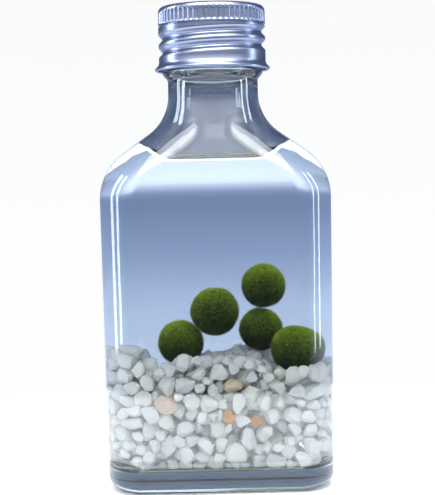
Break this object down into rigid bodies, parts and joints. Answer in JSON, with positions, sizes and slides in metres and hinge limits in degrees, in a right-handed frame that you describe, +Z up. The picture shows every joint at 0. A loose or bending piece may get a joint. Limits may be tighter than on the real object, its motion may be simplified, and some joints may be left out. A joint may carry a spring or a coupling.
{
  "type": "marimo moss balls in a screw-capped glass flask",
  "caption": "Flat clear glass flask with a screw cap, filled with water over white gravel, with fuzzy green moss balls resting on the gravel.",
  "frame": {"origin": "middle of the base, on the surface that the flask stands on", "axes": "+Z up along the neck, +Y from the wide front face to the back face, +X to the right as seen from the front"},
  "size_m": [0.0594, 0.0318, 0.1239],
  "materials": {
    "glass": "clear, faintly green, smooth",
    "cap_metal": "satin lacquer",
    "liner_foam": "matt",
    "water": "clear liquid",
    "white_stone": "crushed, matt",
    "moss": "fuzzy fibres"
  },
  "bodies": {
    "bottle": {"glass_bottle": "glass", "water": "water", "gravel": "white_stone", "moss_ball_left": "moss", "moss_ball_middle": "moss", "moss_ball_top": "moss", "moss_ball_back": "moss", "moss_ball_right": "moss"},
    "liner": {"cap_liner": "liner_foam"},
    "cap": {"screw_cap": "cap_metal"}
  },
  "joints": [
    {"name": "cap_lift", "type": "slide", "parent": "bottle", "child": "liner", "axis": [0, 0, 1], "range_m": [0, 0.0051]},
    {"name": "cap_turn", "type": "hinge", "parent": "liner", "child": "cap", "pos_m": [0, 0, 0.1156], "axis": [0, 0, 1], "range_deg": [0, 540]}
  ],
  "couplings": [
    {"joint": "cap_lift", "follows": "cap_turn", "m_per_rad": 0.00054113}
  ]
}
